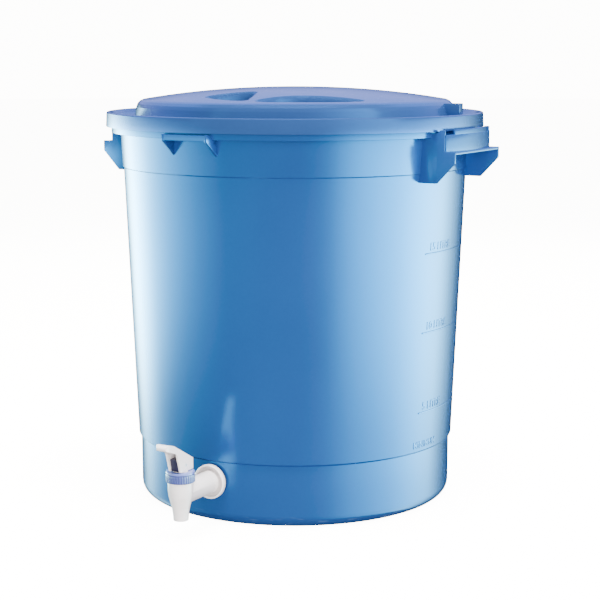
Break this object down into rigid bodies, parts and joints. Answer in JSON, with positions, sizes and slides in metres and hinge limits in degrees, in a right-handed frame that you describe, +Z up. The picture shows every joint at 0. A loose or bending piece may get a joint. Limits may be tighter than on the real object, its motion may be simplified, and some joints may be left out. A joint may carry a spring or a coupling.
{
  "type": "plastic fermenting bucket with tap",
  "caption": "Tapered plastic bucket with moulded hand grips, a loose domed lid and a push-lever tap near its base.",
  "frame": {"origin": "middle of the base's underside on the bucket's axis, in the plane that it stands on", "axes": "+Z up, the tap points along -Y, the two hand grips stand out along +X and -X"},
  "size_m": [0.3672, 0.3975, 0.3779],
  "materials": {
    "bucket_plastic": "glossy moulded polypropylene, blue",
    "lid_plastic": "glossy moulded polypropylene, blue",
    "tap_plastic": "white moulded plastic",
    "collar_plastic": "translucent blue, ribbed",
    "stem_plastic": "dark moulded plastic",
    "seal_rubber": "soft black rubber",
    "silicone": "milky silicone",
    "spring_steel": "bright stainless steel"
  },
  "bodies": {
    "bucket": {"bucket_body": "bucket_plastic", "tap_body": "tap_plastic", "outer_washer": "seal_rubber", "inner_washer": "seal_rubber", "back_nut": "tap_plastic", "bonnet": "tap_plastic", "collar": "collar_plastic", "return_spring": "spring_steel"},
    "lid": {"lid": "lid_plastic"},
    "stem": {"valve_stem": "stem_plastic", "seat_cup": "silicone", "spring_washer": "tap_plastic", "lever_pin": "spring_steel"},
    "lever": {"lever": "tap_plastic"}
  },
  "joints": [
    {"name": "lid_lift", "type": "slide", "parent": "bucket", "child": "lid", "axis": [0, 0, 1], "range_m": [0, 0.15]},
    {"name": "stem_lift", "type": "slide", "parent": "bucket", "child": "stem", "axis": [0, 0, 1], "range_m": [0, 0.003], "deforming": ["return_spring"]},
    {"name": "lever_press", "type": "hinge", "parent": "stem", "child": "lever", "pos_m": [0, -0.195, 0.0645], "axis": [1, 0, 0], "range_deg": [0, 25], "stiffness_Nm_per_rad": 0.02, "springref_deg": -34.38}
  ],
  "couplings": [
    {"joint": "stem_lift", "follows": "lever_press", "m_per_rad": 0.00667}
  ]
}
